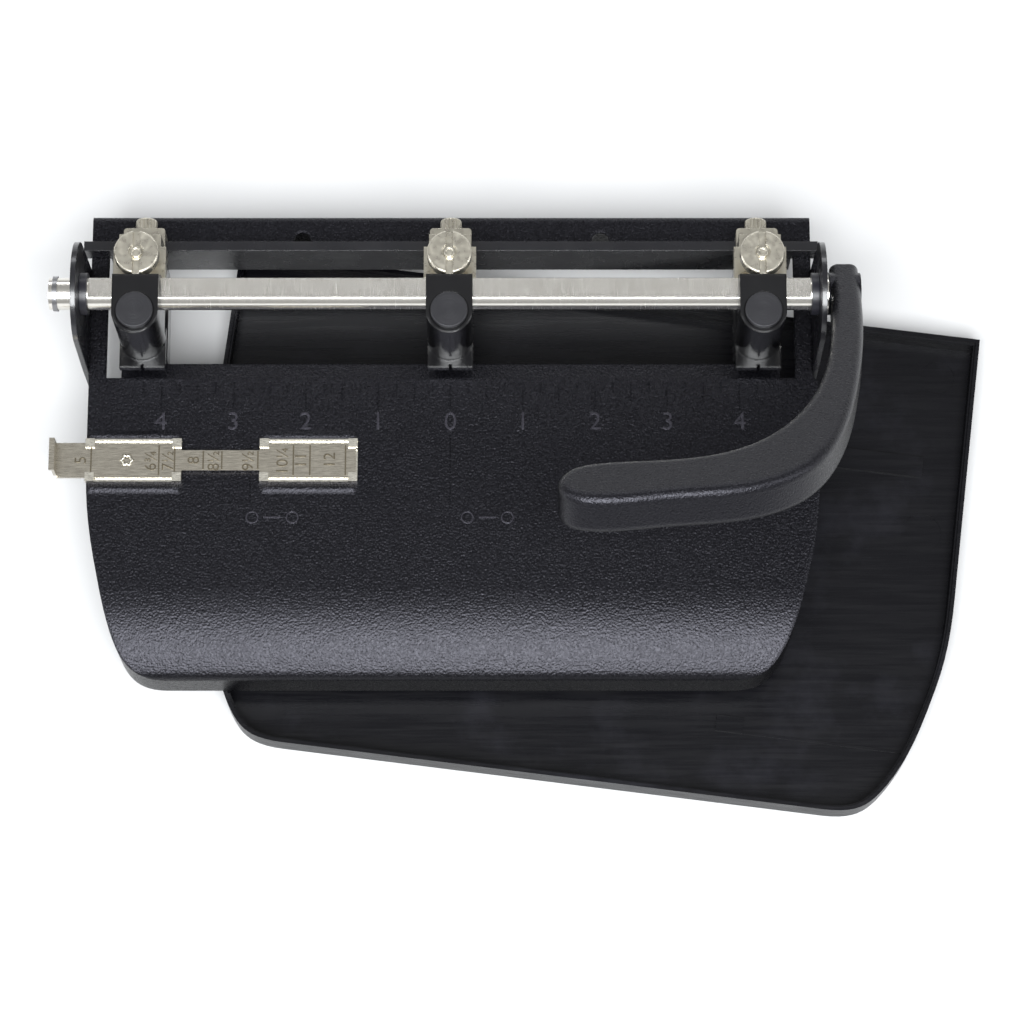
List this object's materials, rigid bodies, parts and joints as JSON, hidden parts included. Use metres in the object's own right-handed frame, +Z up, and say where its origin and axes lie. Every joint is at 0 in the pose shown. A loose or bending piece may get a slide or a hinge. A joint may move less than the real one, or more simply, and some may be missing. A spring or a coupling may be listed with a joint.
{
  "type": "hole punch",
  "caption": "Heavy-duty adjustable hole punch: pressed-steel base with ruler, sliding punch heads on a rail, side lever, sliding paper gauge and a pull-out chip tray.",
  "frame": {"origin": "on the table under the tray, below the ruler's zero line and half way along the base's depth", "axes": "+Z up, +X to the right along the ruler and the paper edge, +Y towards the rail at the back"},
  "size_m": [0.3298, 0.2101, 0.1514],
  "materials": {
    "wrinkle_enamel": "black baked enamel with a leather-like wrinkle on pressed steel",
    "satin_enamel": "smooth black enamel on steel",
    "gloss_enamel": "gloss black enamel on a casting",
    "textured_enamel": "fine matt texture coat on a casting",
    "acetal": "black moulded bearing plastic",
    "nickel_plate": "nickel plated steel with turning marks",
    "ground_steel": "ground and polished bar",
    "tool_steel": "blackened turned tool steel",
    "spring_steel": "oiled spring steel",
    "polystyrene": "black moulded plastic with scuffs",
    "rubber": "matt black rubber"
  },
  "bodies": {
    "base": {"base_cover": "wrinkle_enamel", "left_ear": "satin_enamel", "right_ear": "satin_enamel", "ear_rivets": "satin_enamel", "left_bushing": "acetal", "right_bushing": "acetal", "rear_rail": "satin_enamel", "left_gauge_clip": "nickel_plate", "right_gauge_clip": "nickel_plate", "clip_rivets": "nickel_plate"},
    "tray": {"chip_tray": "polystyrene", "tray_pads": "rubber"},
    "handle": {"drive_shaft": "ground_steel", "retaining_ring": "spring_steel", "right_washer": "ground_steel", "handle": "textured_enamel", "handle_pin": "spring_steel"},
    "gauge": {"paper_gauge": "nickel_plate"},
    "left_head": {"left_head_casting": "gloss_enamel", "left_die_bush": "tool_steel", "left_clamp_yoke": "nickel_plate", "left_lock_stud": "nickel_plate", "left_return_spring": "spring_steel"},
    "left_pin": {"left_punch_pin": "tool_steel"},
    "left_cam": {"left_drive_cam": "tool_steel"},
    "left_nut": {"left_lock_nut": "nickel_plate"},
    "left_thumb": {"left_thumb_screw": "nickel_plate"},
    "centre_head": {"centre_head_casting": "gloss_enamel", "centre_die_bush": "tool_steel", "centre_clamp_yoke": "nickel_plate", "centre_lock_stud": "nickel_plate", "centre_return_spring": "spring_steel"},
    "centre_pin": {"centre_punch_pin": "tool_steel"},
    "centre_cam": {"centre_drive_cam": "tool_steel"},
    "centre_nut": {"centre_lock_nut": "nickel_plate"},
    "centre_thumb": {"centre_thumb_screw": "nickel_plate"},
    "right_head": {"right_head_casting": "gloss_enamel", "right_die_bush": "tool_steel", "right_clamp_yoke": "nickel_plate", "right_lock_stud": "nickel_plate", "right_return_spring": "spring_steel"},
    "right_pin": {"right_punch_pin": "tool_steel"},
    "right_cam": {"right_drive_cam": "tool_steel"},
    "right_nut": {"right_lock_nut": "nickel_plate"},
    "right_thumb": {"right_thumb_screw": "nickel_plate"}
  },
  "joints": [
    {"name": "tray_swing", "type": "hinge", "parent": "base", "child": "tray", "pos_m": [-0.17991, -0.37435, 0], "axis": [0, 0, 1], "range_deg": [0, 7.2]},
    {"name": "handle_press", "type": "hinge", "parent": "base", "child": "handle", "pos_m": [0, 0.0447, 0.067], "axis": [1, 0, 0], "range_deg": [0, 45]},
    {"name": "gauge_slide", "type": "slide", "parent": "base", "child": "gauge", "axis": [1, 0, 0], "range_m": [-0.016, 0.009]},
    {"name": "left_head_slide", "type": "slide", "parent": "base", "child": "left_head", "axis": [1, 0, 0], "range_m": [-0.0045, 0.0381]},
    {"name": "left_pin_press", "type": "slide", "parent": "left_head", "child": "left_pin", "axis": [0, 0, -1], "range_m": [0, 0.00568], "deforming": ["left_return_spring"]},
    {"name": "left_cam_turn", "type": "hinge", "parent": "left_head", "child": "left_cam", "pos_m": [-0.10795, 0.0447, 0.067], "axis": [1, 0, 0], "range_deg": [0, 45]},
    {"name": "left_nut_turn", "type": "hinge", "parent": "left_head", "child": "left_nut", "pos_m": [-0.10795, 0.0569, 0.074], "axis": [0, 0, 1], "range_deg": [0, 180]},
    {"name": "left_thumb_turn", "type": "hinge", "parent": "left_head", "child": "left_thumb", "pos_m": [-0.10795, 0.0782, 0.043], "axis": [0, 1, 0], "range_deg": [0, 270]},
    {"name": "centre_head_slide", "type": "slide", "parent": "base", "child": "centre_head", "axis": [1, 0, 0], "range_m": [-0.038, 0.038]},
    {"name": "centre_pin_press", "type": "slide", "parent": "centre_head", "child": "centre_pin", "axis": [0, 0, -1], "range_m": [0, 0.00568], "deforming": ["centre_return_spring"]},
    {"name": "centre_cam_turn", "type": "hinge", "parent": "centre_head", "child": "centre_cam", "pos_m": [0, 0.0447, 0.067], "axis": [1, 0, 0], "range_deg": [0, 45]},
    {"name": "centre_nut_turn", "type": "hinge", "parent": "centre_head", "child": "centre_nut", "pos_m": [0, 0.0569, 0.074], "axis": [0, 0, 1], "range_deg": [0, 180]},
    {"name": "centre_thumb_turn", "type": "hinge", "parent": "centre_head", "child": "centre_thumb", "pos_m": [0, 0.0782, 0.043], "axis": [0, 1, 0], "range_deg": [0, 270]},
    {"name": "right_head_slide", "type": "slide", "parent": "base", "child": "right_head", "axis": [1, 0, 0], "range_m": [-0.0381, 0.0045]},
    {"name": "right_pin_press", "type": "slide", "parent": "right_head", "child": "right_pin", "axis": [0, 0, -1], "range_m": [0, 0.00568], "deforming": ["right_return_spring"]},
    {"name": "right_cam_turn", "type": "hinge", "parent": "right_head", "child": "right_cam", "pos_m": [0.10795, 0.0447, 0.067], "axis": [1, 0, 0], "range_deg": [0, 45]},
    {"name": "right_nut_turn", "type": "hinge", "parent": "right_head", "child": "right_nut", "pos_m": [0.10795, 0.0569, 0.074], "axis": [0, 0, 1], "range_deg": [0, 180]},
    {"name": "right_thumb_turn", "type": "hinge", "parent": "right_head", "child": "right_thumb", "pos_m": [0.10795, 0.0782, 0.043], "axis": [0, 1, 0], "range_deg": [0, 270]}
  ],
  "couplings": [
    {"joint": "left_pin_press", "follows": "handle_press", "m_per_rad": 0.0072113},
    {"joint": "left_cam_turn", "follows": "handle_press", "ratio": 1},
    {"joint": "centre_pin_press", "follows": "handle_press", "m_per_rad": 0.0072113},
    {"joint": "centre_cam_turn", "follows": "handle_press", "ratio": 1},
    {"joint": "right_pin_press", "follows": "handle_press", "m_per_rad": 0.0072113},
    {"joint": "right_cam_turn", "follows": "handle_press", "ratio": 1}
  ]
}
